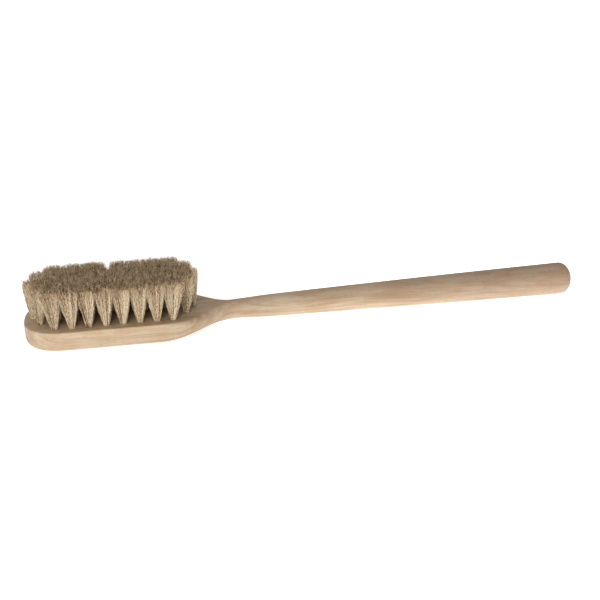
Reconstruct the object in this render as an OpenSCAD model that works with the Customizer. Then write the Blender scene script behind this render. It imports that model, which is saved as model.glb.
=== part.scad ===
// Long-handled body brush for dry brushing.
// One piece of wood makes the flat head and the round, slightly swelling handle.
// Each tuft of hair is folded over a short flat wire, the anchor, and driven into
// a blind hole of its own; the anchor's ends bite into the wall of the hole.
//
// Frame: X runs along the brush from the head to the handle's butt, Y across it, Z up.
// The flat back of the head lies on Z = 0, with the origin under the middle of the
// bristle field, and the bristles point up. The butt of the handle also touches Z = 0.

/* [Head] */
// Width of the head across the brush
head_w = 56; // [54:0.5:60]
// Thickness of the head, from its flat back to the drilled face
head_t = 14.6; // [14:0.1:15.5]
// Distance from the middle of the bristle field to the free end of the head
head_end = 60; // [59.5:0.25:62]
// Length of the rounded free end
end_len = 29.5; // [27:0.5:32]
// Fullness of the rounded end: 2 is an ellipse, more is squarer
end_fullness = 2.45; // [2.2:0.05:2.8]
// Rounding of the back edge
back_round = 5; // [4:0.25:6]
// Sanded rounding of the edge around the drilled face
face_round = 0.9; // [0.6:0.1:1.4]

/* [Neck] */
// Where the head begins to narrow
taper_start = 43; // [40:0.5:44]
// Where the neck has become as narrow as the handle
taper_end = 82; // [78:0.5:86]
// Where the drilled face begins to run out upwards into the handle
runout_start = 54; // [52:1:64]
// Where the wood is fully round
round_from = 90; // [88:1:94]
// How far the rounding under the shoulders reaches inwards, where the head narrows
shoulder_round = 15; // [11:0.5:16]
// Where the edge around the drilled face begins to round off more
edge_start = 28; // [26:1:34]
// Where that edge is as round as the handle
edge_end = 78; // [74:1:84]

/* [Handle] */
// Overall length of the brush
total_len = 398; // [380:2:420]
// Radius of the handle just behind the neck
neck_r = 7.5; // [7.3:0.05:7.8]
// How much slimmer the waist of the neck is than that
waist = 0.55; // [0:0.05:0.7]
// Radius of the handle at its thickest, just before the butt
butt_r = 11.9; // [11:0.1:12.6]
// Height of the handle's axis at the neck
neck_height = 9.3; // [9.1:0.1:9.8]
// Length of the domed end of the butt
dome_len = 8; // [5:0.5:13]

/* [Bristles] */
// Distance between neighbouring rows of tufts
row_pitch = 10.15; // [10.15:0.05:10.5]
// Height of the trimmed bristles above the drilled face
trim_h = 27.4; // [24:0.2:32]
// Diameter of the blind holes
hole_d = 5; // [4.8:0.1:5]
// Depth of the blind holes, not counting the drill point
hole_depth = 9; // [8:0.25:9.5]
// Radius of a tuft where it leaves its hole
tuft_r = 2.4; // [2.2:0.05:2.4]
// Radius of a tuft where it meets its neighbours
flare_r = 5.03; // [4.6:0.01:5.03]
// Height at which the tufts meet
flare_h = 16.5; // [14:0.5:20]
// Outward lean of the outermost rows, in degrees
edge_lean = 4; // [0:0.5:5]

/* [Anchors] */
// Thickness of the anchor wire
anchor_t = 0.45; // [0.3:0.05:0.6]
// Height of the anchor wire
anchor_h = 1.8; // [1.4:0.1:2.2]
// How far each end of an anchor bites into the wood
anchor_bite = 0.6; // [0.3:0.1:0.8]

/* [Hidden] */
// Tufts in each row, and the distance from the first to the last of them.
row_count = [8, 10, 11, 10, 8];
row_span = [77.7, 97.2, 106.8, 97.2, 77.7];
middle_row = 2;

butt_x = total_len - head_end;                // X of the tip of the butt
dome_x = butt_x - dome_len;                   // where the dome of the butt begins
end_centre = -head_end + end_len;             // centre of the rounded free end
axis_rise = (butt_r - neck_height) / (dome_x - round_from);
axis_tilt = atan(axis_rise);                  // slope of the handle's axis, in degrees
swell = 0.34;                                 // how much of the handle's growth comes early
waist_len = 18;                               // how far behind the neck the waist fades out
join_gap = 0.08;                              // the neck stands this much proud of the handle
seat_len = 10;                                // length of handle buried in the neck
shoulder_start = taper_start - 12;            // where the back edge begins to round off more
shoulder_x = taper_start + 14;                // where the shoulders are roundest underneath
side_flat = 0.3;                              // least height of flat side between the roundings
drill_point = 1.5;                            // depth of the cone under each hole
fold_h = 1;                                   // hair below each anchor
hair_gap = 0.1;                               // play between a tuft and its hole

fan_steps = 14;                               // facets in a quarter of the rounded end
neck_steps = 28;                              // slices along the neck
arc_steps = 6;                                // facets in a quarter-round edge
grip_steps = 18;                              // cones along the handle
dome_steps = 10;                              // cones round the butt

// ---- Rules for the shape of the wood ----
function smooth(t) = let (u = min(1, max(0, t))) u * u * (3 - 2 * u);
function mix(a, b, t) = a + (b - a) * t;
function between(x, a, b) = smooth((x - a) / (b - a));

// Radius and height of the handle's axis at X.
function grip_share(x) = (x - round_from) / (dome_x - round_from);
function grip_r(x) = let (t = grip_share(x))
    neck_r + (butt_r - neck_r) * t * (1 + swell * (1 - t))
    - waist * (1 - between(x, round_from - 4, round_from + waist_len));
function axis_z(x) = neck_height + axis_rise * (x - round_from);

// Outline of the head and neck seen from above, and its top and bottom.
function half_width(x) = mix(head_w / 2, grip_r(x) + join_gap, between(x, taper_start, taper_end));
function bottom_z(x) = mix(0, axis_z(x) - grip_r(x) - join_gap, between(x, taper_start, round_from));
function top_z(x) = mix(head_t, axis_z(x) + grip_r(x) + join_gap, between(x, runout_start, round_from));
function full_round(x) = 0.985 * grip_r(x);
function low_round(x) = min(0.985 * half_width(x), x < shoulder_x
    ? mix(back_round, shoulder_round, between(x, shoulder_start, shoulder_x))
    : mix(shoulder_round, full_round(x), between(x, shoulder_x, round_from)));
function high_round(x) = mix(face_round, full_round(x), between(x, edge_start, edge_end));

// Reach of the rounded end from its centre, at an angle from the brush's axis.
function end_reach(a) = pow(
    pow(abs(cos(a)) / end_len, end_fullness) + pow(abs(sin(a)) / (head_w / 2), end_fullness),
    -1 / end_fullness);

// Half of a slice, from the back round the side to the face: [reach, height].
// Where the two roundings would meet, the lower one is flattened to leave room.
function half_slice(w, low, high, r_low, r_high) = let (
        rise = min(r_low, high - low - r_high - side_flat))
    concat(
        [for (i = [0:arc_steps]) let (a = -90 + 90 * i / arc_steps)
            [w - r_low + r_low * cos(a), low + rise + rise * sin(a)]],
        [for (i = [0:arc_steps]) let (a = 90 * i / arc_steps)
            [w - r_high + r_high * cos(a), high - r_high + r_high * sin(a)]]);

// Slices are counted from the tip of the free end: first they fan round the end,
// then they follow the neck. Negative ones are on the far side.
last_slice = fan_steps + neck_steps;
curve_n = 2 * (arc_steps + 1);
function slice_x(k) = k <= 0 ? end_centre
    : mix(shoulder_start, round_from, (k - 1) / (neck_steps - 1));
function slice_points(s) = let (
        n = abs(s), side = s < 0 ? 1 : -1,
        fan = n <= fan_steps, a = 90 * n / fan_steps,
        x = slice_x(n - fan_steps),
        dir = fan ? [-cos(a), side * sin(a)] : [0, side],
        curve = half_slice(fan ? end_reach(a) : half_width(x),
            bottom_z(x), top_z(x), low_round(x), high_round(x)))
    [for (p = curve) [x + dir[0] * p[0], dir[1] * p[0], p[1]]];

// Numbers of the points in the list that the solid is made from.
slice_total = 2 * last_slice + 1;
function on_curve(c, j) = c * curve_n + j;
function centre_of(c) = max(0, abs(c - last_slice) - fan_steps);
function low_centre(k) = slice_total * curve_n + k;
function high_centre(k) = low_centre(neck_steps) + 1 + k;

module head_and_neck() {
    points = concat(
        [for (c = [0:slice_total - 1]) each slice_points(c - last_slice)],
        [for (k = [0:neck_steps]) [slice_x(k), 0, bottom_z(slice_x(k))]],
        [for (k = [0:neck_steps]) [slice_x(k), 0, top_z(slice_x(k))]]);
    last = slice_total - 1;
    side = [for (c = [0:last - 1], j = [0:curve_n - 2]) each [
        [on_curve(c, j), on_curve(c + 1, j + 1), on_curve(c + 1, j)],
        [on_curve(c, j), on_curve(c, j + 1), on_curve(c + 1, j + 1)]]];
    back = [for (c = [0:last - 1]) each let (k = centre_of(c), m = centre_of(c + 1)) concat(
        [[on_curve(c, 0), on_curve(c + 1, 0), low_centre(k)]],
        k == m ? [] : [[on_curve(c + 1, 0), low_centre(m), low_centre(k)]])];
    face = [for (c = [0:last - 1]) each let (k = centre_of(c), m = centre_of(c + 1), j = curve_n - 1) concat(
        [[on_curve(c, j), high_centre(k), on_curve(c + 1, j)]],
        k == m ? [] : [[on_curve(c + 1, j), high_centre(k), high_centre(m)]])];
    cap = [concat([low_centre(neck_steps)],
        [for (j = [0:curve_n - 1]) on_curve(last, j)],
        [high_centre(neck_steps)],
        [for (j = [curve_n - 1:-1:0]) on_curve(0, j)])];
    polyhedron(points = points, faces = concat(side, back, face, cap));
}

// The turned handle, with the end buried in the neck first and the domed butt last.
module handle() {
    from = round_from - seat_len;
    grip = [for (i = [0:grip_steps]) let (x = mix(round_from - 2, dome_x, i / grip_steps))
        [grip_r(x), x - from]];
    dome = [for (i = [1:dome_steps - 1]) let (a = 90 * i / dome_steps)
        [butt_r * cos(a), dome_x - from + dome_len * sin(a)]];
    translate([from, 0, axis_z(from)])
        rotate([0, 90 - axis_tilt, 0])
            rotate_extrude($fn = 96)
                polygon(concat([[0, 0], [neck_r - 1.5, 0]], grip, dome, [[0, butt_x - from]]));
}

// ---- Where the tufts stand ----
function tuft_row(i, row = 0) = i < row_count[row] ? [row, i] : tuft_row(i - row_count[row], row + 1);
function tuft_place(i) = let (at = tuft_row(i), n = row_count[at[0]], span = row_span[at[0]])
    [-span / 2 + span * at[1] / (n - 1), (at[0] - middle_row) * row_pitch];
tuft_total = row_count[0] + row_count[1] + row_count[2] + row_count[3] + row_count[4];
field_y = middle_row * row_pitch;
function tuft_lean(at) = edge_lean * pow(abs(at[1]) / field_y, 3) * sign(at[1]);

module anchor() {
    long = hole_d + 2 * anchor_bite;
    translate([-long / 2, -anchor_t / 2, -hole_depth + fold_h])
        cube([long, anchor_t, anchor_h]);
}

module blind_hole() {
    translate([0, 0, -hole_depth])
        cylinder(d = hole_d, h = hole_depth + 1, $fn = 48);
    translate([0, 0, -hole_depth - drill_point])
        cylinder(r1 = 0, r2 = hole_d / 2, h = drill_point, $fn = 48);
}

// One tuft: its root in the hole, folded under the anchor, and the hair flaring above.
module tuft(i) {
    at = tuft_place(i);
    color("tan") translate([at[0], at[1], head_t])
        difference() {
            union() {
                rotate_extrude($fn = 48) polygon([
                    [0, hair_gap - hole_depth - drill_point * tuft_r * 2 / hole_d],
                    [tuft_r, hair_gap - hole_depth],
                    [tuft_r, 0], [0, 0]]);
                intersection() {
                    rotate([-tuft_lean(at), 0, 0])
                        rotate_extrude($fn = 48) polygon([
                            [0, -0.6], [tuft_r - 0.3, -0.6], [tuft_r - 0.1, 0],
                            [flare_r, flare_h], [flare_r, trim_h + 2], [0, trim_h + 2]]);
                    translate([-15, -15, -1])
                        cube([30, 30, trim_h + 1]);
                }
            }
            anchor();
        }
}

// ---- Sub-parts ----
module stock() {
    color("burlywood") difference() {
        union() {
            head_and_neck();
            handle();
        }
        for (i = [0:tuft_total - 1])
            translate([tuft_place(i)[0], tuft_place(i)[1], head_t]) {
                blind_hole();
                anchor();
            }
    }
}

module anchors() {
    color("silver")
        for (i = [0:tuft_total - 1])
            translate([tuft_place(i)[0], tuft_place(i)[1], head_t]) anchor();
}

function tuft_name(i) = str("tuft_", i < 9 ? "0" : "", i + 1);
stock();
anchors();
for (i = [0:tuft_total - 1])
    tuft(i);
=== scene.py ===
"""A long-handled body brush: one piece of turned and milled wood, drilled for tufts of natural hair.

The wood is one closed skin, lofted from rules for its outline and its thickness and then drilled by
a Geometry Nodes tree. Every tuft is its own piece, grown hair by hair by a second tree. The wire
anchors at the bottom of the holes are the frame's own solids in a metal finish. All lengths are in
metres: X runs from the head to the butt of the handle, Y across the brush and Z up.
"""

from __future__ import annotations

import logging
import math
from collections.abc import Iterator
from dataclasses import dataclass, field
from enum import Enum

import bpy
from mathutils import Matrix, Vector


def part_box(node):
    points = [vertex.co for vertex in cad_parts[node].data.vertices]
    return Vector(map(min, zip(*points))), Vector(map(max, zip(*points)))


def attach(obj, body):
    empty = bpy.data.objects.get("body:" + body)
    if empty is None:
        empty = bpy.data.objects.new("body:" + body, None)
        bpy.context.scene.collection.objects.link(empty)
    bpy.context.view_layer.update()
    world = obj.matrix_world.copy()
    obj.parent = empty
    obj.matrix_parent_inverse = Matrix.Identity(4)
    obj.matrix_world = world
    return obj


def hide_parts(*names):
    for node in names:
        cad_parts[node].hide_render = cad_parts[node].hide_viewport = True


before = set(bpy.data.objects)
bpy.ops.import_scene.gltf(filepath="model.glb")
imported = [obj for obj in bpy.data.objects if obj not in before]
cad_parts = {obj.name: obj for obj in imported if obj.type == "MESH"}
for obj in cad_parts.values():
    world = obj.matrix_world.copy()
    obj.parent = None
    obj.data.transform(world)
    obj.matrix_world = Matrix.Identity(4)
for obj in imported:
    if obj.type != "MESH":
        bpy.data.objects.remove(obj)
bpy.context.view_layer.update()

LOG = logging.getLogger("body_brush")
MM = 0.001
ROOT_BODY = "root"

Socket = bpy.types.NodeSocket
Piece = bpy.types.Object
Material = bpy.types.Material
Value = float | tuple[float, ...] | Socket
Triple = tuple[float, float, float]
Colour = Triple
Stops = tuple[tuple[float, Colour], ...]
WHITE: Colour = (1.0, 1.0, 1.0)
HALF = (0.5, 0.5, 0.5)
NOWHERE = (0.0, 0.0, 0.0)


# Rules shared by the pieces


def mix(a: float, b: float, share: float) -> float:
    """Returns the number that lies share of the way from a to b."""
    return a + (b - a) * share


def ease(share: float) -> float:
    """Returns share held between 0 and 1 and eased at both ends."""
    held = min(1.0, max(0.0, share))
    return held * held * (3.0 - 2.0 * held)


def between(x: float, start: float, end: float) -> float:
    """Returns how far x has come from start to end, eased at both."""
    return ease((x - start) / (end - start))


class Sheet:
    """A node tree being wired, with short calls for the nodes that recur."""

    def __init__(self, tree: bpy.types.NodeTree) -> None:
        """Starts an empty sheet.

        Args:
            tree: the node tree to fill; what it holds is cleared.
        """
        self.tree = tree
        self.tree.nodes.clear()

    def add(
        self, kind: str, inputs: dict[str | int, Value] | None = None, **settings: object
    ) -> bpy.types.Node:
        """Adds a node.

        Args:
            kind: the node's type name.
            inputs: values or sockets for its inputs, by name or number.
            **settings: properties to set on the node before its inputs.

        Returns:
            The new node.
        """
        node = self.tree.nodes.new(kind)
        for name, setting in settings.items():
            setattr(node, name, setting)
        for name, value in (inputs or {}).items():
            self.feed(node.inputs[name], value)
        return node

    def feed(self, socket: Socket, value: Value) -> None:
        """Links value to the socket if it is a socket, and sets it there if it is a number."""
        if isinstance(value, Socket):
            self.tree.links.new(value, socket)
        else:
            socket.default_value = value

    def math(self, operation: str, a: Value, b: Value = 0.0, c: Value = 0.0, clamp: bool = False) -> Socket:
        """Adds a Math node.

        Args:
            operation: the node's operation.
            a: the first value.
            b: the second value.
            c: the third value, where the operation has one.
            clamp: whether the result is held between 0 and 1.

        Returns:
            The node's output.
        """
        node = self.tree.nodes.new("ShaderNodeMath")
        node.operation = operation
        node.use_clamp = clamp
        for socket, value in zip(node.inputs, (a, b, c), strict=False):
            self.feed(socket, value)
        return node.outputs[0]

    def times(self, a: Value, b: Value) -> Socket:
        """Returns a times b."""
        return self.math("MULTIPLY", a, b)

    def plus(self, a: Value, b: Value) -> Socket:
        """Returns a plus b."""
        return self.math("ADD", a, b)

    def minus(self, a: Value, b: Value) -> Socket:
        """Returns a less b."""
        return self.math("SUBTRACT", a, b)

    def scaled(self, a: Value, scale: Value) -> Socket:
        """Returns the vector a, scale times as long."""
        return self.vector("SCALE", a, scale=scale)

    def moved(self, a: Value, b: Value) -> Socket:
        """Returns the vector a plus the vector b."""
        return self.vector("ADD", a, b)

    def vector(self, operation: str, a: Value, b: Value = NOWHERE, scale: Value = 1.0) -> Socket:
        """Adds a Vector Math node.

        Args:
            operation: the node's operation.
            a: the first vector.
            b: the second vector, where the operation has one.
            scale: the factor of a SCALE.

        Returns:
            The node's vector output.
        """
        node = self.tree.nodes.new("ShaderNodeVectorMath")
        node.operation = operation
        self.feed(node.inputs[0], a)
        if operation == "SCALE":
            self.feed(node.inputs["Scale"], scale)
        else:
            self.feed(node.inputs[1], b)
        return node.outputs["Vector"]

    def ramp(self, share: Value, stops: Stops) -> Socket:
        """Adds a Color Ramp node.

        Args:
            share: where on the ramp to read.
            stops: the ramp's positions and linear colours, in order.

        Returns:
            The ramp's colour output.
        """
        node = self.add("ShaderNodeValToRGB", {0: share})
        elements = node.color_ramp.elements
        while len(elements) < len(stops):
            elements.new(1.0)
        for element, (position, colour) in zip(elements, stops, strict=True):
            element.position = position
            element.color = (*colour, 1.0)
        return node.outputs["Color"]

    def remap(self, value: Value, low: float, high: float, to_low: float, to_high: float) -> Socket:
        """Adds a Map Range node that holds its result in range.

        Args:
            value: what to map.
            low: the value that gives to_low.
            high: the value that gives to_high.
            to_low: the result at low.
            to_high: the result at high.

        Returns:
            The mapped value.
        """
        node = self.add(
            "ShaderNodeMapRange",
            {"Value": value, "From Min": low, "From Max": high, "To Min": to_low, "To Max": to_high},
            clamp=True,
        )
        return node.outputs["Result"]

    def blend(self, kind: str, share: Value, a: Value, b: Value) -> Socket:
        """Adds a colour Mix node.

        Args:
            kind: the node's blend type.
            share: how much of b to use.
            a: the first colour.
            b: the second colour.

        Returns:
            The mixed colour.
        """
        node = self.tree.nodes.new("ShaderNodeMix")
        node.data_type = "RGBA"
        node.blend_type = kind
        self.feed(node.inputs[0], share)
        self.feed(node.inputs[6], a)
        self.feed(node.inputs[7], b)
        return node.outputs[2]

    def noise(self, place: Value, stretch: Triple, **settings: float) -> bpy.types.Node:
        """Adds a Noise Texture drawn out along the axes.

        Args:
            place: the coordinates to read.
            stretch: the noise's frequency along each axis, per metre.
            **settings: the node's other inputs.

        Returns:
            The node.
        """
        inputs = {"Vector": self.vector("MULTIPLY", place, stretch), "Scale": 1.0}
        return self.add("ShaderNodeTexNoise", inputs | {k.title(): v for k, v in settings.items()})


def new_material(name: str) -> tuple[Material, Sheet, bpy.types.Node]:
    """Makes a material with one Principled shader on its output.

    Args:
        name: the material's name.

    Returns:
        The material, the sheet of its node tree, and the Principled node.
    """
    material = bpy.data.materials.new(name)
    material.use_nodes = True
    sheet = Sheet(material.node_tree)
    shader = sheet.add("ShaderNodeBsdfPrincipled")
    sheet.add("ShaderNodeOutputMaterial", {"Surface": shader.outputs["BSDF"]})
    return material, sheet, shader


# Finishes


@dataclass(frozen=True)
class WoodFinish:
    """Pale close-grained hardwood, sanded and lightly waxed, with the grain along X.

    Each stretch is a noise's frequency along each axis, per metre.
    """

    pale: Colour = (0.595, 0.478, 0.347)
    mid: Colour = (0.545, 0.422, 0.29)
    warm: Colour = (0.455, 0.325, 0.205)
    fleck: Colour = (0.27, 0.165, 0.09)
    # Painted shade on the handle, darkest at the butt.
    butt_shade: Colour = (0.79, 0.735, 0.72)
    # Painted shade on the faces that look along the brush.
    end_face_shade: Colour = (0.74, 0.68, 0.62)
    fibre_stops: Stops = ((0.35, (0.8, 0.76, 0.72)), (0.6, WHITE))
    blotch_stops: Stops = ((0.42, (0.94, 0.88, 0.81)), (0.56, (1.03, 1.035, 1.035)))
    heart: Triple = (0.0, 34.0 * MM, -52.0 * MM)
    bend_stretch: Triple = (7.0, 14.0, 14.0)
    bend: float = 16.0 * MM
    band_stretch: Triple = (5.0, 110.0, 25.0)
    grain_stretch: Triple = (16.0, 620.0, 90.0)
    fibre_stretch: Triple = (34.0, 1500.0, 1500.0)
    blotch_stretch: Triple = (38.0, 140.0, 140.0)
    fleck_stretch: Triple = (210.0, 1150.0, 1150.0)
    fibre_strength: float = 0.6
    fleck_strength: float = 0.5
    # How strong the painted shade on the faces along the brush is.
    end_face_shade_strength: float = 0.8
    # Where the painted shade on the handle starts and where it is full.
    butt_shade_from: float = 0.13
    butt_shade_to: float = 0.27
    roughness: float = 0.5
    bump: float = 0.35
    fibre_depth: float = 0.05 * MM

    def material(self) -> Material:
        """Builds the wood.

        Returns:
            The material.
        """
        material, sheet, shader = new_material("waxed_beech")
        place = sheet.add("ShaderNodeTexCoord").outputs["Object"]
        rings = self._rings(sheet, self._bent(sheet, place))
        bands = self._streaks(sheet, rings, self.band_stretch, 3.0, 0.55)
        grain = self._streaks(sheet, rings, self.grain_stretch, 4.0, 0.62)
        fibre = self._streaks(sheet, place, self.fibre_stretch, 3.0, 0.6)
        blotch = self._streaks(sheet, place, self.blotch_stretch, 2.0, 0.5)
        flecks = self._flecks(sheet, place)

        tone = sheet.plus(sheet.times(bands, 0.5), sheet.times(grain, 0.5))
        colour = sheet.ramp(tone, ((0.38, self.warm), (0.5, self.mid), (0.62, self.pale)))
        colour = sheet.blend("MULTIPLY", self.fibre_strength, colour, sheet.ramp(fibre, self.fibre_stops))
        colour = sheet.blend("MULTIPLY", 1.0, colour, sheet.ramp(blotch, self.blotch_stops))
        fleck_share = sheet.times(flecks, self.fleck_strength)
        colour = sheet.blend("MIX", fleck_share, colour, (*self.fleck, 1.0))
        # Painted shade: the handle darkens towards the butt.
        colour = sheet.blend("MULTIPLY", self._butt_shade_share(sheet, place), colour, (*self.butt_shade, 1.0))
        # Painted shade: faces that look along the brush, the head's round end and the butt's dome, darken.
        colour = sheet.blend("MULTIPLY", self._end_face_shade(sheet), colour, (*self.end_face_shade, 1.0))
        sheet.feed(shader.inputs["Base Color"], colour)

        rough = sheet.plus(self.roughness - 0.05, sheet.times(grain, 0.12))
        sheet.feed(shader.inputs["Roughness"], sheet.plus(rough, sheet.times(flecks, 0.1)))
        pits = sheet.times(flecks, 0.5)
        height = sheet.minus(sheet.times(fibre, 0.6), pits)
        relief = {"Strength": self.bump, "Distance": self.fibre_depth, "Height": height}
        sheet.feed(shader.inputs["Normal"], sheet.add("ShaderNodeBump", relief).outputs["Normal"])
        shader.inputs["Specular IOR Level"].default_value = 0.5
        return material

    def _bent(self, sheet: Sheet, place: Value) -> Socket:
        """Pushes a place sideways by a slow noise, so that the grain isn't ruled straight.

        Args:
            sheet: the material's sheet.
            place: the place in the brush.

        Returns:
            The pushed place.
        """
        slow = sheet.noise(place, self.bend_stretch, detail=1.0)
        push = sheet.vector("SUBTRACT", slow.outputs["Color"], HALF)
        return sheet.moved(place, sheet.scaled(push, self.bend))

    def _rings(self, sheet: Sheet, place: Value) -> Socket:
        """Turns a place into one measured from the heart of the tree.

        Args:
            sheet: the material's sheet.
            place: the place in the brush.

        Returns:
            The distance along the grain, out from the heart, and round it.
        """
        off = sheet.vector("SUBTRACT", place, self.heart)
        parts = sheet.add("ShaderNodeSeparateXYZ", {"Vector": off}).outputs
        square = sheet.times(parts["Z"], parts["Z"])
        out = sheet.math("SQRT", sheet.math("MULTIPLY_ADD", parts["Y"], parts["Y"], square))
        turn = sheet.times(sheet.math("ARCTAN2", parts["Y"], parts["Z"]), out)
        return sheet.add("ShaderNodeCombineXYZ", {"X": parts["X"], "Y": out, "Z": turn}).outputs["Vector"]

    def _streaks(self, sheet: Sheet, place: Value, stretch: Triple, detail: float, rough: float) -> Socket:
        """Adds a noise drawn out along the grain.

        Args:
            sheet: the material's sheet.
            place: the coordinates to read.
            stretch: the noise's frequency along each axis, per metre.
            detail: the noise's octaves.
            rough: how strong the finer octaves are.

        Returns:
            The noise, about 0.5 on average.
        """
        return sheet.noise(place, stretch, detail=detail, roughness=rough).outputs["Fac"]

    def _flecks(self, sheet: Sheet, place: Value) -> Socket:
        """Masks the short dark ray flecks, a few millimetres long.

        Args:
            sheet: the material's sheet.
            place: the place in the brush.

        Returns:
            The mask, 1 inside a fleck.
        """
        inputs = {
            "Vector": sheet.vector("MULTIPLY", place, self.fleck_stretch),
            "Scale": 1.0,
            "Randomness": 1.0,
        }
        cells = sheet.add("ShaderNodeTexVoronoi", inputs, feature="F1").outputs
        spot = sheet.remap(cells["Distance"], 0.12, 0.34, 1.0, 0.0)
        chosen = sheet.add("ShaderNodeSeparateColor", {"Color": cells["Color"]}).outputs[0]
        return sheet.times(spot, sheet.remap(chosen, 0.55, 0.8, 0.0, 1.0))

    def _butt_shade_share(self, sheet: Sheet, place: Value) -> Socket:
        """Returns the share of painted shade on the handle, from none on the neck to all at the butt."""
        along = sheet.add("ShaderNodeSeparateXYZ", {"Vector": place}).outputs["X"]
        return sheet.remap(along, self.butt_shade_from, self.butt_shade_to, 0.0, 1.0)

    def _end_face_shade(self, sheet: Sheet) -> Socket:
        """Measures how much a surface faces along the brush, for painted shade on the head's round end and
        the butt's dome.

        Args:
            sheet: the material's sheet.

        Returns:
            The share of the soaked colour.
        """
        normal = sheet.add("ShaderNodeTexCoord").outputs["Normal"]
        along = sheet.math("ABSOLUTE", sheet.add("ShaderNodeSeparateXYZ", {"Vector": normal}).outputs["X"])
        return sheet.times(sheet.math("POWER", along, 3.0), self.end_face_shade_strength)


@dataclass(frozen=True)
class HairFinish:
    """Natural hair, straw to dark brown, which varies from hair to hair and along each hair."""

    stops: Stops = (
        (0.0, (0.17, 0.088, 0.04)),
        (0.2, (0.48, 0.305, 0.165)),
        (0.42, (0.87, 0.655, 0.405)),
        (1.0, (1.0, 0.9, 0.66)),
    )
    # Darker tips: partly the hair's own darker tips, partly painted shade on the top of the bristles.
    tip_tone_and_shade: Colour = (0.86, 0.79, 0.73)
    tip_start: float = 0.75
    tip_darker: float = 0.06
    mottle_stretch: Triple = (1050.0, 1050.0, 800.0)
    mottle_strength: float = 2.0
    roughness: float = 0.5

    def material(self) -> Material:
        """Builds the hair, from the tone of each hair and how far along it a point is.

        Returns:
            The material.
        """
        material, sheet, shader = new_material("natural_hair")
        tone = sheet.add("ShaderNodeAttribute", attribute_name="tone").outputs["Fac"]
        along = sheet.add("ShaderNodeAttribute", attribute_name="along").outputs["Fac"]
        place = sheet.add("ShaderNodeTexCoord").outputs["Object"]
        mottle = sheet.noise(place, self.mottle_stretch, detail=1.0).outputs["Fac"]
        patch = sheet.times(sheet.minus(mottle, 0.5), self.mottle_strength)
        share = sheet.plus(tone, patch)
        tip = sheet.remap(along, self.tip_start, 1.0, 0.0, 1.0)
        share = sheet.math("SUBTRACT", share, sheet.times(tip, self.tip_darker), clamp=True)
        colour = sheet.ramp(share, self.stops)
        # The tips darken, partly as the hair's own colour and partly as painted shade on the top of the
        # bristles.
        colour = sheet.blend("MULTIPLY", tip, colour, (*self.tip_tone_and_shade, 1.0))
        sheet.feed(shader.inputs["Base Color"], colour)
        rough = sheet.plus(self.roughness - 0.06, sheet.times(mottle, 0.12))
        sheet.feed(shader.inputs["Roughness"], rough)
        shader.inputs["Specular IOR Level"].default_value = 0.35
        return material


@dataclass(frozen=True)
class WireFinish:
    """Drawn steel wire, faintly scored along its length."""

    colour: Colour = (0.62, 0.61, 0.58)
    score_stretch: Triple = (300.0, 9000.0, 9000.0)
    score_shade: float = 0.7
    roughness: float = 0.34

    def material(self) -> Material:
        """Builds the wire.

        Returns:
            The material.
        """
        material, sheet, shader = new_material("drawn_wire")
        place = sheet.add("ShaderNodeTexCoord").outputs["Object"]
        score = sheet.noise(place, self.score_stretch, detail=2.0).outputs["Fac"]
        dark = tuple(self.score_shade * c for c in self.colour)
        sheet.feed(shader.inputs["Base Color"], sheet.ramp(score, ((0.3, dark), (0.7, self.colour))))
        rough = sheet.plus(self.roughness - 0.05, sheet.times(score, 0.15))
        sheet.feed(shader.inputs["Roughness"], rough)
        shader.inputs["Metallic"].default_value = 1.0
        return material


# Geometry Nodes


class Grower:
    """A Geometry Nodes tree with named inputs, and the way a piece is grown from it."""

    def __init__(self, name: str, inputs: tuple[tuple[str, str, object], ...]) -> None:
        """Makes an empty tree.

        Args:
            name: the tree's name.
            inputs: each input's name, socket type and default value.
        """
        self.tree = bpy.data.node_groups.new(name, "GeometryNodeTree")
        self.tree.interface.new_socket("Geometry", in_out="INPUT", socket_type="NodeSocketGeometry")
        for label, kind, default in inputs:
            socket = self.tree.interface.new_socket(label, in_out="INPUT", socket_type=kind)
            if default is not None:
                socket.default_value = default
        self.tree.interface.new_socket("Geometry", in_out="OUTPUT", socket_type="NodeSocketGeometry")
        self.sheet = Sheet(self.tree)
        self.given = self.sheet.add("NodeGroupInput").outputs

    def finish(self, geometry: Socket) -> None:
        """Ends the tree: geometry is made real, given the Finish material, and put out."""
        real = self.sheet.add("GeometryNodeRealizeInstances", {"Geometry": geometry})
        inputs = {"Geometry": real.outputs["Geometry"], "Material": self.given["Finish"]}
        dressed = self.sheet.add("GeometryNodeSetMaterial", inputs)
        self.sheet.add("NodeGroupOutput", {"Geometry": dressed.outputs["Geometry"]})

    def grow(self, piece: Piece, values: dict[str, object]) -> Piece:
        """Runs the tree on a piece and leaves it a plain mesh.

        Args:
            piece: the object to run the tree on.
            values: the tree's inputs by name.

        Returns:
            The same piece, with the grown mesh and no modifier.
        """
        modifier = piece.modifiers.new(self.tree.name, "NODES")
        modifier.node_group = self.tree
        sockets = {s.name: s.identifier for s in self.tree.interface.items_tree if s.in_out == "INPUT"}
        for label, value in values.items():
            modifier[sockets[label]] = value
        bpy.context.view_layer.update()
        graph = bpy.context.evaluated_depsgraph_get()
        grown = bpy.data.meshes.new_from_object(piece.evaluated_get(graph), depsgraph=graph)
        piece.modifiers.remove(modifier)
        old, piece.data = piece.data, grown
        grown.name = piece.name
        bpy.data.meshes.remove(old)
        return piece


def new_piece(
    name: str, vertices: list[Vector] | None = None, faces: list[tuple[int, ...]] | None = None
) -> Piece:
    """Makes a mesh object at the origin and puts it in the scene.

    Args:
        name: the object's name.
        vertices: the mesh's vertices.
        faces: the mesh's faces.

    Returns:
        The object.
    """
    mesh = bpy.data.meshes.new(name)
    mesh.from_pydata(vertices or [], [], faces or [])
    piece = bpy.data.objects.new(name, mesh)
    bpy.context.scene.collection.objects.link(piece)
    return piece


# The wood


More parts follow.
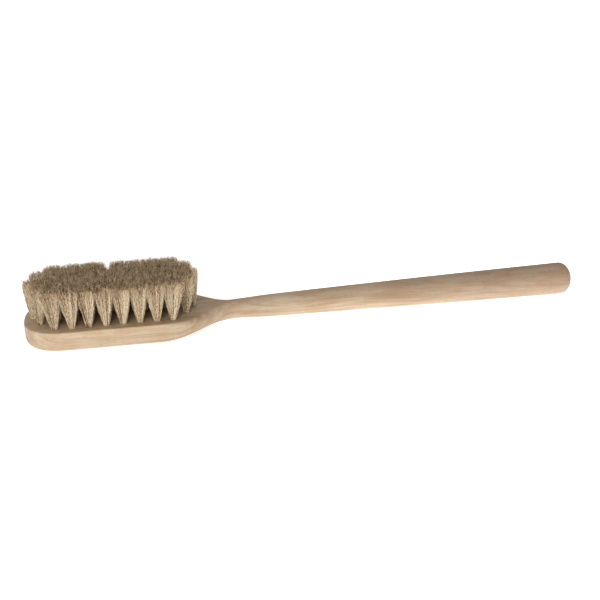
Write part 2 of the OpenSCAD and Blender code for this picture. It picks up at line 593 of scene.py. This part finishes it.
@dataclass
class Stock:
    """The head and handle, cut from one piece.

    The head is flat with a round end and milled level on the hair side, and the handle is turned.
    """

    head_width: float = 56.0 * MM
    head_thick: float = 14.6 * MM
    head_end: float = 60.0 * MM
    end_length: float = 29.5 * MM
    end_fullness: float = 2.45
    back_round: float = 5.0 * MM
    face_round: float = 0.9 * MM
    taper_start: float = 43.0 * MM
    taper_end: float = 82.0 * MM
    runout_start: float = 54.0 * MM
    round_from: float = 90.0 * MM
    shoulder_round: float = 15.0 * MM
    shoulder_before: float = 12.0 * MM
    shoulder_after: float = 14.0 * MM
    edge_start: float = 28.0 * MM
    edge_end: float = 78.0 * MM
    side_flat: float = 0.3 * MM
    total_length: float = 398.0 * MM
    neck_radius: float = 7.5 * MM
    waist: float = 0.55 * MM
    waist_before: float = 4.0 * MM
    waist_length: float = 18.0 * MM
    butt_radius: float = 11.9 * MM
    neck_height: float = 9.3 * MM
    dome_length: float = 8.0 * MM
    swell: float = 0.34
    nearly_round: float = 0.992
    hole_radius: float = 2.5 * MM
    hole_depth: float = 9.0 * MM
    drill_sides: int = 36
    over_face: float = 1.0 * MM
    sharp_above: float = 35.0
    fan_steps: int = 44
    head_steps: int = 8
    neck_steps: int = 50
    handle_steps: int = 48
    arc_steps: int = 14
    dome_steps: int = 26
    rim: float = 0.35 * MM
    slices: list[float] = field(default_factory=list)

    def __post_init__(self) -> None:
        """Lays out the slices along the brush, closer on the neck and closest round the butt."""
        self.butt = self.total_length - self.head_end
        self.dome = self.butt - self.dome_length
        self.end_centre = self.end_length - self.head_end
        self.shoulder_start = self.taper_start - self.shoulder_before
        self.shoulder = self.taper_start + self.shoulder_after
        self.rise = (self.butt_radius - self.neck_height) / (self.dome - self.round_from)
        stretches = (
            (self.end_centre, self.shoulder_start, self.head_steps),
            (self.shoulder_start, self.round_from, self.neck_steps),
            (self.round_from, self.dome, self.handle_steps),
        )
        for start, end, count in stretches:
            self.slices += [mix(start, end, i / count) for i in range(count)]
        turns = [math.radians(90.0 * i / self.dome_steps) for i in range(self.dome_steps)]
        self.slices += [self.dome + self.dome_length * math.sin(turn) for turn in turns]

    def grip_radius(self, x: float) -> float:
        """Gives the handle's radius: slim at the waist, swelling towards the butt, and domed at its end.

        Args:
            x: the place along the brush.

        Returns:
            The radius.
        """
        share = (min(x, self.dome) - self.round_from) / (self.dome - self.round_from)
        grown = share * (1.0 + self.swell * (1.0 - share))
        radius = self.neck_radius + (self.butt_radius - self.neck_radius) * grown
        waist_start = self.round_from - self.waist_before
        radius -= self.waist * (1.0 - between(x, waist_start, self.round_from + self.waist_length))
        if x > self.dome:
            reach = min(1.0, (x - self.dome) / self.dome_length)
            radius *= math.sqrt(1.0 - reach * reach)
        return radius

    def axis_height(self, x: float) -> float:
        """Returns the height of the handle's axis at x."""
        return self.neck_height + self.rise * (x - self.round_from)

    def half_width(self, x: float) -> float:
        """Returns half the width of the brush at x."""
        return mix(self.head_width / 2, self.grip_radius(x), between(x, self.taper_start, self.taper_end))

    def bottom(self, x: float) -> float:
        """Returns the height of the back at x."""
        under = self.axis_height(x) - self.grip_radius(x)
        return mix(0.0, under, between(x, self.taper_start, self.round_from))

    def top(self, x: float) -> float:
        """Returns the height of the milled face at x, which runs out upwards into the handle."""
        over = self.axis_height(x) + self.grip_radius(x)
        return mix(self.head_thick, over, between(x, self.runout_start, self.round_from))

    def low_round(self, x: float) -> float:
        """Gives the rounding of the back edge, which reaches far in under the shoulders.

        Args:
            x: the place along the brush.

        Returns:
            The radius of the rounding.
        """
        full = self.nearly_round * self.grip_radius(x)
        if x < self.shoulder:
            share = between(x, self.shoulder_start, self.shoulder)
            rounding = mix(self.back_round, self.shoulder_round, share)
        else:
            rounding = mix(self.shoulder_round, full, between(x, self.shoulder, self.round_from))
        return min(0.985 * self.half_width(x), rounding)

    def high_round(self, x: float) -> float:
        """Returns the rounding of the face's edge at x."""
        full = self.nearly_round * self.grip_radius(x)
        return mix(self.face_round, full, between(x, self.edge_start, self.edge_end))

    def end_reach(self, angle: float) -> float:
        """Gives how far the round end reaches from its centre.

        Args:
            angle: the way to look, in radians from the brush's length.

        Returns:
            The reach.
        """
        p = self.end_fullness
        along = abs(math.cos(angle)) / self.end_length
        across = abs(math.sin(angle)) / (self.head_width / 2)
        return (along**p + across**p) ** (-1.0 / p)

    def half_slice(self, width: float, x: float) -> list[tuple[float, float]]:
        """Draws half of a slice, from the back round the side to the face.

        Args:
            width: how far the slice reaches from the centre line.
            x: where it stands, which sets its heights and roundings.

        Returns:
            The points, as reach and height.
        """
        low, high, r_low, r_high = self.bottom(x), self.top(x), self.low_round(x), self.high_round(x)
        flat_low, flat_high = width - r_low, width - r_high
        rise = min(r_low, high - low - r_high - self.side_flat)
        points = [(flat_low * 0.5, low), (max(flat_low - self.rim, flat_low * 0.8), low)]
        for i in range(self.arc_steps + 1):
            turn = math.radians(-90.0 + 90.0 * i / self.arc_steps)
            points.append((flat_low + r_low * math.cos(turn), low + rise * (1.0 + math.sin(turn))))
        points.append((width, (low + rise + high - r_high) / 2))
        for i in range(self.arc_steps + 1):
            turn = math.radians(90.0 * i / self.arc_steps)
            points.append((flat_high + r_high * math.cos(turn), high - r_high * (1.0 - math.sin(turn))))
        points += [(max(flat_high - self.rim, flat_high * 0.8), high), (flat_high * 0.5, high)]
        return points

    def columns(self) -> Iterator[tuple[int, list[Vector]]]:
        """Walks from the butt along the far side, round the head's end, and back along the near side.

        Yields:
            The number of the slice whose centre line the column hangs on, and the column's points
            from back to face.
        """
        reach = self.fan_steps + len(self.slices) - 1
        for step in range(-reach, reach + 1):
            side, count = (1.0 if step < 0 else -1.0), abs(step)
            if count <= self.fan_steps:
                angle = math.radians(90.0 * count / self.fan_steps)
                number, x, width = 0, self.slices[0], self.end_reach(angle)
                way = Vector((-math.cos(angle), side * math.sin(angle), 0.0))
            else:
                number = count - self.fan_steps
                x = self.slices[number]
                width, way = self.half_width(x), Vector((0.0, side, 0.0))
            yield number, [Vector((x, 0.0, z)) + way * y for y, z in self.half_slice(width, x)]

    def skin(self) -> Piece:
        """Lofts the closed skin of the wood, before it is drilled.

        Returns:
            The skin as an object.
        """
        columns = list(self.columns())
        rows = len(columns[0][1])
        vertices = [point for _, points in columns for point in points]
        low = len(vertices)
        vertices += [Vector((x, 0.0, self.bottom(x))) for x in self.slices]
        high = len(vertices)
        vertices += [Vector((x, 0.0, self.top(x))) for x in self.slices]
        faces: list[tuple[int, ...]] = []
        for c in range(len(columns) - 1):
            here, there = c * rows, (c + 1) * rows
            k, m = columns[c][0], columns[c + 1][0]
            faces += [(here + j, there + j, there + j + 1, here + j + 1) for j in range(rows - 1)]
            faces.append((here, low + k, there) if k == m else (here, low + k, low + m, there))
            rim = (here + rows - 1, there + rows - 1)
            faces.append((*rim, high + k) if k == m else (*rim, high + m, high + k))
        tip = len(vertices)
        vertices.append(Vector((self.butt, 0.0, self.axis_height(self.butt))))
        end = len(self.slices) - 1
        near, far = (len(columns) - 1) * rows, 0
        ring = [low + end, *range(near, near + rows), high + end, *range(far + rows - 1, far - 1, -1)]
        faces += [(ring[i], tip, ring[(i + 1) % len(ring)]) for i in range(len(ring))]
        return new_piece("stock_wood", vertices, faces)

    def driller(self) -> Grower:
        """Builds the tree that bores a blind hole at each place.

        Returns:
            The tree, with the inputs Places, Hole Radius, Hole Depth, Face Height and Finish.
        """
        grower = Grower(
            "drill_blind_holes",
            (
                ("Places", "NodeSocketObject", None),
                ("Hole Radius", "NodeSocketFloat", self.hole_radius),
                ("Hole Depth", "NodeSocketFloat", self.hole_depth),
                ("Face Height", "NodeSocketFloat", self.head_thick),
                ("Finish", "NodeSocketMaterial", None),
            ),
        )
        sheet, given = grower.sheet, grower.given
        places = sheet.add("GeometryNodeObjectInfo", {"Object": given["Places"]}).outputs["Geometry"]
        length = sheet.plus(given["Hole Depth"], self.over_face)
        drill = sheet.add(
            "GeometryNodeMeshCylinder",
            {"Vertices": self.drill_sides, "Radius": given["Hole Radius"], "Depth": length},
        ).outputs["Mesh"]
        upper = sheet.plus(given["Face Height"], self.over_face / 2)
        drop = sheet.minus(upper, sheet.math("DIVIDE", given["Hole Depth"], 2.0))
        lift = sheet.add("ShaderNodeCombineXYZ", {"Z": drop}).outputs["Vector"]
        inputs = {"Geometry": drill, "Translation": lift}
        drill = sheet.add("GeometryNodeTransform", inputs).outputs["Geometry"]
        inputs = {"Points": places, "Instance": drill}
        bits = sheet.add("GeometryNodeInstanceOnPoints", inputs).outputs["Instances"]
        bits = sheet.add("GeometryNodeRealizeInstances", {"Geometry": bits}).outputs["Geometry"]
        inputs = {"Mesh 1": given["Geometry"], "Mesh 2": bits}
        bored = sheet.add("GeometryNodeMeshBoolean", inputs, operation="DIFFERENCE", solver="EXACT")
        grower.finish(bored.outputs["Mesh"])
        return grower

    def build(self, places: list[Vector], finish: Material) -> Piece:
        """Makes the wood and puts it in the frame.

        Args:
            places: the centre of each hole on the milled face.
            finish: the wood's material.

        Returns:
            The finished piece.
        """
        skin = self.skin()
        marks = new_piece("hole_places", [Vector((p.x, p.y, 0.0)) for p in places])
        wood = self.driller().grow(skin, {"Places": marks, "Finish": finish})
        bpy.data.objects.remove(marks)
        smooth_by_angle(wood, self.sharp_above)
        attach(wood, ROOT_BODY)
        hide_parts("stock")
        return wood


def smooth_by_angle(piece: Piece, degrees: float) -> None:
    """Shades a piece smooth, with its flat faces kept flat.

    Args:
        piece: the piece.
        degrees: the angle above which two faces meet in a sharp edge.
    """
    piece.data.shade_smooth()
    piece.data.set_sharp_from_angle(angle=math.radians(degrees))
    modifier = piece.modifiers.new("weighted", "WEIGHTED_NORMAL")
    modifier.keep_sharp = True
    modifier.mode = "FACE_AREA"
    bpy.context.view_layer.update()
    graph = bpy.context.evaluated_depsgraph_get()
    weighted = bpy.data.meshes.new_from_object(piece.evaluated_get(graph), depsgraph=graph)
    piece.modifiers.remove(modifier)
    old, piece.data = piece.data, weighted
    bpy.data.meshes.remove(old)
    weighted.name = piece.name


# The hair


class Draw(Enum):
    """The kinds of chance that a hair can draw."""

    NUMBER = "FLOAT"
    VECTOR = "FLOAT_VECTOR"


@dataclass
class BristleBed:
    """The bed of tufts: how many stand in each row and where, and how their hair grows."""

    row_counts: tuple[int, ...] = (8, 10, 11, 10, 8)
    row_spans: tuple[float, ...] = (77.7 * MM, 97.2 * MM, 106.8 * MM, 97.2 * MM, 77.7 * MM)
    row_pitch: float = 10.15 * MM
    face: float = 14.6 * MM
    trim_height: float = 27.4 * MM
    root_radius: float = 2.0 * MM
    hair_radius: float = 0.115 * MM
    hairs: int = 430
    points_per_hair: int = 12
    depth: float = 1.5 * MM
    spread: float = 6.2 * MM
    kink: float = 0.5 * MM
    golden_angle: float = 2.399963
    tuft_turn: float = 1.73
    corner_fullness: float = 0.09
    uneven: float = 2.8 * MM
    uneven_power: float = 2.2
    stray_power: float = 10.0
    fray: float = 2.0 * MM
    loose: float = 0.9 * MM
    flare_power: float = 1.25
    lock_scale: float = 4.5
    lock_pull: float = 1.8 * MM
    swirl_scale: float = 4.0
    swirl_rise: float = 6.0
    swirl_pull: float = 3.2 * MM
    curl: float = 0.9
    lock_tone: float = 3.9
    hair_tone: float = 1.15
    mean_tone: float = 0.57
    thinning: float = 0.3
    edge_lean: float = 2.3 * MM
    end_lean: tuple[float, ...] = (1.2 * MM, -0.4 * MM, -1.8 * MM, -0.4 * MM, 0.9 * MM)
    corner_lean: float = 2.6 * MM
    parting: float = 2.4 * MM
    parting_shift: float = 3.2 * MM
    seed: int = 11

    def places(self) -> list[Vector]:
        """Lays out the tufts, row by row from the near side, each row from the head's free end.

        Returns:
            The centre of each tuft on the face.
        """
        middle = len(self.row_counts) // 2
        found = []
        for row, (count, span) in enumerate(zip(self.row_counts, self.row_spans, strict=True)):
            y = (row - middle) * self.row_pitch
            found += [Vector((-span / 2 + span * i / (count - 1), y, self.face)) for i in range(count)]
        return found

    def lean(self, place: Vector) -> Vector:
        """Leans a tuft outwards at the edges of the bed, and apart at the parting in the far row.

        Args:
            place: the tuft's centre on the face.

        Returns:
            How far the hair has leant by its tips.
        """
        middle = len(self.row_counts) // 2
        row = round(place.y / self.row_pitch) + middle
        across = (row - middle) / middle
        along = place.x / (self.row_spans[row] / 2)
        at_end = abs(along) ** 9
        outwards = math.copysign(1.0, along)
        lean = Vector((self.end_lean[row] * at_end * outwards, self.edge_lean * across**3, 0.0))
        if 0 < abs(across) < 1:
            lean.y += math.copysign(self.corner_lean * at_end, across)
        pitch = self.row_spans[row] / (self.row_counts[row] - 1)
        if row == len(self.row_counts) - 1 and abs(place.x) < pitch:
            lean.x += math.copysign(self.parting, place.x) - self.parting_shift
        return lean

    def grower(self) -> Grower:
        """Builds the tree that grows one tuft.

        Hairs stand on a spiral over the root, flare until the tufts meet, wave a little, and end
        near the trimmed level.

        Returns:
            The tree.
        """
        grower = Grower(
            "grow_tuft",
            (
                ("Place", "NodeSocketVector", (0.0, 0.0, 0.0)),
                ("Lean", "NodeSocketVector", (0.0, 0.0, 0.0)),
                ("Hairs", "NodeSocketInt", self.hairs),
                ("Points", "NodeSocketInt", self.points_per_hair),
                ("Root Radius", "NodeSocketFloat", self.root_radius),
                ("Tip Radius", "NodeSocketFloat", self.spread),
                ("Hair Radius", "NodeSocketFloat", self.hair_radius),
                ("Height", "NodeSocketFloat", self.trim_height),
                ("Depth", "NodeSocketFloat", self.depth),
                ("Kink", "NodeSocketFloat", self.kink),
                ("Seed", "NodeSocketInt", 0),
                ("Finish", "NodeSocketMaterial", None),
            ),
        )
        sheet, given = grower.sheet, grower.given
        index = sheet.add("GeometryNodeInputIndex").outputs[0]
        seed = given["Seed"]

        # The root of each hair on a disc of radius 1, and the chances that make each hair its own.
        rank = sheet.math("DIVIDE", sheet.plus(index, 0.5), given["Hairs"])
        turned = sheet.times(index, self.golden_angle)
        turn = sheet.plus(turned, sheet.times(seed, self.tuft_turn))
        reach = sheet.math("SQRT", rank)
        disc = sheet.add("ShaderNodeCombineXYZ", {
            "X": sheet.times(reach, sheet.math("COSINE", turn)),
            "Y": sheet.times(reach, sheet.math("SINE", turn)),
        }).outputs["Vector"]
        four = sheet.minus(1.0, sheet.math("COSINE", sheet.times(turn, 4.0)))
        corner = sheet.times(four, self.corner_fullness)
        square = sheet.scaled(disc, sheet.plus(1.0, corner))

        points = sheet.add("GeometryNodePoints", {"Count": given["Hairs"]}).outputs[0]
        chances = {
            "disc": ("VECTOR", disc),
            "square": ("VECTOR", square),
            "scatter": ("VECTOR", self._chance(sheet, Draw.VECTOR, index, seed, 1)),
            "length": ("FLOAT", self._chance(sheet, Draw.NUMBER, index, seed, 3)),
            "tone": ("FLOAT", self._chance(sheet, Draw.NUMBER, index, seed, 4)),
        }
        kept = sheet.tree.nodes.new("GeometryNodeCaptureAttribute")
        kept.domain = "POINT"
        sheet.feed(kept.inputs["Geometry"], points)
        for label, (kind, value) in chances.items():
            kept.capture_items.new(kind, label)
            sheet.feed(kept.inputs[label], value)
        chance = kept.outputs

        # One line for each hair, set on the hair's own path.
        inputs = {"Start": NOWHERE, "End": (0.0, 0.0, 1.0)}
        line = sheet.add("GeometryNodeCurvePrimitiveLine", inputs).outputs[0]
        inputs = {"Curve": line, "Count": given["Points"]}
        line = sheet.add("GeometryNodeResampleCurve", inputs).outputs["Curve"]
        inputs = {"Points": kept.outputs["Geometry"], "Instance": line}
        lines = sheet.add("GeometryNodeInstanceOnPoints", inputs).outputs["Instances"]
        lines = sheet.add("GeometryNodeRealizeInstances", {"Geometry": lines}).outputs["Geometry"]
        along = sheet.add("GeometryNodeSplineParameter").outputs["Factor"]

        cut = sheet.times(sheet.math("POWER", chance["length"], self.uneven_power), -self.uneven)
        stray = sheet.math("POWER", chance["tone"], self.stray_power)
        fray = sheet.times(stray, self.fray)
        top = sheet.plus(given["Height"], sheet.plus(cut, fray))
        grown = sheet.times(along, sheet.plus(top, given["Depth"]))
        height = sheet.minus(grown, given["Depth"])
        share = sheet.math("DIVIDE", height, given["Height"], clamp=True)
        left = sheet.minus(1.0, share)
        flare = sheet.minus(1.0, sheet.math("POWER", left, self.flare_power))

        # Each tuft reads its own part of the noises that gather its hair into locks and sway it.
        apart = sheet.add("ShaderNodeCombineXYZ", {
            "X": sheet.times(seed, 5.3),
            "Z": sheet.times(seed, 3.7),
        }).outputs["Vector"]
        spot = sheet.moved(sheet.scaled(chance["disc"], self.lock_scale), apart)
        locks = sheet.add("ShaderNodeTexNoise", {"Vector": spot, "Scale": 1.0, "Detail": 1.0})
        lock = sheet.vector("SUBTRACT", locks.outputs["Color"], HALF)
        root = sheet.scaled(chance["disc"], given["Root Radius"])
        tip = sheet.scaled(chance["square"], given["Tip Radius"])
        loose = sheet.times(sheet.plus(1.0, sheet.times(stray, 1.2)), self.loose)
        tip = sheet.moved(tip, sheet.scaled(chance["scatter"], loose))
        tip = sheet.moved(tip, sheet.scaled(lock, self.lock_pull))
        out = sheet.scaled(sheet.vector("SUBTRACT", tip, root), flare)
        across = sheet.moved(root, out)
        lean = sheet.scaled(given["Lean"], sheet.math("POWER", share, 1.25))
        across = sheet.moved(across, lean)

        rise = sheet.times(share, self.swirl_rise)
        up = sheet.add("ShaderNodeCombineXYZ", {"Z": rise}).outputs["Vector"]
        spot = sheet.moved(sheet.scaled(chance["disc"], self.swirl_scale), apart)
        spot = sheet.moved(spot, up)
        swirl = sheet.add("ShaderNodeTexNoise", {"Vector": spot, "Scale": 1.0, "Detail": 1.0})
        wave = sheet.vector("SUBTRACT", swirl.outputs["Color"], HALF)
        sway = sheet.times(share, self.swirl_pull)
        across = sheet.moved(across, sheet.scaled(wave, sway))
        crimp = self._chance(sheet, Draw.VECTOR, index, seed, 6)
        base = sheet.math("POWER", share, 0.9)
        curl = sheet.math("MULTIPLY_ADD", sheet.math("POWER", share, 4.0), self.curl, base)
        crimp = sheet.scaled(crimp, sheet.times(curl, given["Kink"]))
        across = sheet.moved(across, crimp)
        level = sheet.vector("MULTIPLY", across, (1.0, 1.0, 0.0))
        upwards = sheet.add("ShaderNodeCombineXYZ", {"Z": height}).outputs["Vector"]
        place = sheet.moved(sheet.moved(given["Place"], level), upwards)
        inputs = {"Geometry": lines, "Position": place}
        lines = sheet.add("GeometryNodeSetPosition", inputs).outputs["Geometry"]

        shade = sheet.minus(locks.outputs["Fac"], 0.5)
        tone = sheet.math("MULTIPLY_ADD", shade, self.lock_tone, self.mean_tone)
        own = sheet.minus(chance["tone"], 0.5)
        tone = sheet.math("MULTIPLY_ADD", own, self.hair_tone, tone)
        lines = self._store(sheet, lines, "tone", tone)
        lines = self._store(sheet, lines, "along", along)
        thin = sheet.minus(1.0, sheet.times(along, self.thinning))
        lines = sheet.add("GeometryNodeSetCurveRadius", {"Curve": lines, "Radius": thin}).outputs["Curve"]
        inputs = {"Resolution": 3, "Radius": given["Hair Radius"]}
        section = sheet.add("GeometryNodeCurvePrimitiveCircle", inputs).outputs["Curve"]
        inputs = {"Curve": lines, "Profile Curve": section, "Fill Caps": True}
        tubes = sheet.add("GeometryNodeCurveToMesh", inputs)
        if "Scale" in tubes.inputs:
            sheet.feed(tubes.inputs["Scale"], thin)
        grower.finish(tubes.outputs["Mesh"])
        return grower

    @staticmethod
    def _chance(sheet: Sheet, draw: Draw, index: Value, seed: Value, stream: int) -> Socket:
        """Adds a Random Value node.

        Args:
            sheet: the tree's sheet.
            draw: a number from 0 to 1, or a vector of three from -1 to 1.
            index: what tells one hair from another.
            seed: the tuft's seed.
            stream: tells this chance from the tuft's others.

        Returns:
            The chance.
        """
        node = sheet.tree.nodes.new("FunctionNodeRandomValue")
        node.data_type = draw.value
        low, high = (s for s in node.inputs if s.enabled and s.name in ("Min", "Max"))
        sheet.feed(low, 0.0 if draw is Draw.NUMBER else (-1.0, -1.0, -1.0))
        sheet.feed(high, 1.0 if draw is Draw.NUMBER else WHITE)
        sheet.feed(node.inputs["ID"], index)
        sheet.feed(node.inputs["Seed"], sheet.plus(sheet.times(seed, 10.0), float(stream)))
        return next(s for s in node.outputs if s.enabled)

    @staticmethod
    def _store(sheet: Sheet, geometry: Socket, label: str, value: Value) -> Socket:
        """Stores a number on each point of the geometry, for the material to read.

        Args:
            sheet: the tree's sheet.
            geometry: the geometry.
            label: the name to store the number under.
            value: the number.

        Returns:
            The geometry with the number.
        """
        inputs = {"Geometry": geometry, "Name": label}
        node = sheet.add("GeometryNodeStoreNamedAttribute", inputs, data_type="FLOAT", domain="POINT")
        sheet.feed(next(s for s in node.inputs if s.name == "Value" and s.enabled), value)
        return node.outputs["Geometry"]

    def build(self, finish: Material) -> list[Piece]:
        """Grows every tuft in its own piece and puts it in the frame.

        Args:
            finish: the hair's material.

        Returns:
            The tufts.
        """
        grower = self.grower()
        tufts = []
        for number, place in enumerate(self.places(), start=1):
            node = f"tuft_{number:02d}"
            tuft = grower.grow(new_piece(f"{node}_hair"), {
                "Place": tuple(place),
                "Lean": tuple(self.lean(place)),
                "Seed": self.seed + number,
                "Finish": finish,
            })
            tuft.data.shade_smooth()
            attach(tuft, ROOT_BODY)
            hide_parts(node)
            tufts.append(tuft)
        return tufts


@dataclass
class Anchors:
    """The flat wires that hold the folded hair at the bottom of the holes."""

    node: str = "anchors"

    def dress(self, finish: Material) -> Piece:
        """Gives the frame's own anchors their finish and returns them."""
        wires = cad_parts[self.node]
        wires.data.materials.clear()
        wires.data.materials.append(finish)
        return wires


# The studio


@dataclass
class Studio:
    """A plain white table in a soft room, one light low in front, and the camera."""

    turn: float = 11.6
    drop: float = 23.96
    distance: float = 616.0 * MM
    aim: Triple = (129.9 * MM, 0.0, 11.5 * MM)
    lens: float = 51.62
    table_size: float = 12.0
    near_glow: float = 0.55
    far_glow: float = 1.32
    glow_reach: float = 0.13
    sky: Stops = (
        (0.0, (0.52, 0.52, 0.53)),
        (0.35, (0.45, 0.445, 0.46)),
        (0.7, (0.48, 0.475, 0.485)),
        (1.0, (0.66, 0.645, 0.65)),
    )
    dim_from: float = 0.6
    dimmest: float = 0.2
    wall_glow: float = 1.1
    lamp_place: Triple = (-0.25, -0.6, 0.2)
    lamp_aim: Triple = (0.03, 0.0, 0.02)
    lamp_size: float = 0.3
    lamp_watts: float = 1.9
    lamp_tint: Colour = (1.0, 0.98, 0.95)

    def camera(self) -> Piece:
        """Makes the camera, which looks down on the brush from in front of its near side.

        Returns:
            The camera.
        """
        turn, drop = math.radians(self.turn), math.radians(self.drop)
        ahead = Vector((math.sin(turn) * math.cos(drop), math.cos(turn) * math.cos(drop), -math.sin(drop)))
        right = Vector((math.cos(turn), -math.sin(turn), 0.0))
        above = right.cross(ahead)
        data = bpy.data.cameras.new("camera")
        data.sensor_width = 36.0
        data.lens = self.lens
        data.clip_start, data.clip_end = 0.01, 50.0
        camera = bpy.data.objects.new("camera", data)
        axes = Matrix((right, above, -ahead)).transposed().to_4x4()
        camera.matrix_world = Matrix.Translation(Vector(self.aim) - ahead * self.distance) @ axes
        bpy.context.scene.collection.objects.link(camera)
        bpy.context.scene.camera = camera
        return camera

    def table(self) -> Piece:
        """Makes the white table that the brush lies on, with a glow that fades in towards the brush as a
        painted shadow round it.

        Returns:
            The table.
        """
        half = self.table_size / 2
        corners = [Vector((x * half, y * half, -0.05 * MM)) for x, y in ((-1, -1), (1, -1), (1, 1), (-1, 1))]
        table = new_piece("table", corners, [(0, 1, 2, 3)])
        material, sheet, shader = new_material("white_table")
        shader.inputs["Base Color"].default_value = (0.9, 0.9, 0.9, 1.0)
        shader.inputs["Roughness"].default_value = 0.8
        shader.inputs["Emission Color"].default_value = (1.0, 1.0, 1.0, 1.0)
        low, high = (Vector(corner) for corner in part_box("anchors"))
        place = sheet.add("ShaderNodeTexCoord").outputs["Object"]
        place = sheet.vector("SUBTRACT", place, tuple((low + high) / 2))
        past = sheet.vector("SUBTRACT", sheet.vector("ABSOLUTE", place), tuple((high - low) / 2))
        past = sheet.vector("MULTIPLY", sheet.vector("MAXIMUM", past, (0.0, 0.0, 0.0)), (1.0, 1.0, 0.0))
        away = sheet.add("ShaderNodeVectorMath", {0: past}, operation="LENGTH").outputs["Value"]
        # The glow is dimmer close to the brush: painted shadow round it.
        glow = sheet.remap(away, 0.0, self.glow_reach, self.near_glow, self.far_glow)
        sheet.feed(shader.inputs["Emission Strength"], glow)
        table.data.materials.append(material)
        return table

    def room(self) -> None:
        """Lights the room, brightest overhead and dim beyond the butt, with a white wall behind."""
        world = bpy.data.worlds.new("room")
        world.use_nodes = True
        sheet = Sheet(world.node_tree)
        way = sheet.add("ShaderNodeTexCoord").outputs["Generated"]
        parts = sheet.add("ShaderNodeSeparateXYZ", {"Vector": way}).outputs
        colour = sheet.ramp(parts["Z"], self.sky)
        strength = sheet.remap(parts["X"], self.dim_from, 1.0, 1.0, self.dimmest)
        soft = {"Color": colour, "Strength": strength}
        light = sheet.add("ShaderNodeBackground", soft).outputs["Background"]
        white = {"Color": (*WHITE, 1.0), "Strength": self.wall_glow}
        wall = sheet.add("ShaderNodeBackground", white).outputs["Background"]
        seen = sheet.add("ShaderNodeLightPath").outputs["Is Camera Ray"]
        room = sheet.add("ShaderNodeMixShader", {0: seen, 1: light, 2: wall}).outputs["Shader"]
        sheet.add("ShaderNodeOutputWorld", {"Surface": room})
        bpy.context.scene.world = world

    def lamp(self) -> Piece:
        """Hangs a soft square light low in front.

        Returns:
            The light.
        """
        data = bpy.data.lights.new("front", "AREA")
        data.shape = "SQUARE"
        data.size = self.lamp_size
        data.energy = self.lamp_watts
        data.color = self.lamp_tint
        lamp = bpy.data.objects.new("front", data)
        way = Vector(self.lamp_aim) - Vector(self.lamp_place)
        facing = way.to_track_quat("-Z", "Y").to_matrix().to_4x4()
        lamp.matrix_world = Matrix.Translation(Vector(self.lamp_place)) @ facing
        lamp.visible_camera = False
        bpy.context.scene.collection.objects.link(lamp)
        return lamp

    def build(self) -> None:
        """Sets up the table, the light and the camera."""
        self.camera()
        self.table()
        self.room()
        self.lamp()


def main() -> None:
    """Builds the brush and the studio round it."""
    logging.basicConfig(level=logging.INFO, format="%(name)s: %(message)s")
    bpy.context.scene.view_settings.view_transform = "Standard"
    Studio().build()
    bed = BristleBed()
    wood = Stock().build(bed.places(), WoodFinish().material())
    LOG.info("%s: %d faces", wood.name, len(wood.data.polygons))
    wires = Anchors().dress(WireFinish().material())
    LOG.info("%s: %d faces", wires.name, len(wires.data.polygons))
    tufts = bed.build(HairFinish().material())
    LOG.info("%d tufts: %d faces", len(tufts), sum(len(t.data.polygons) for t in tufts))


if __name__ == "__main__":
    main()
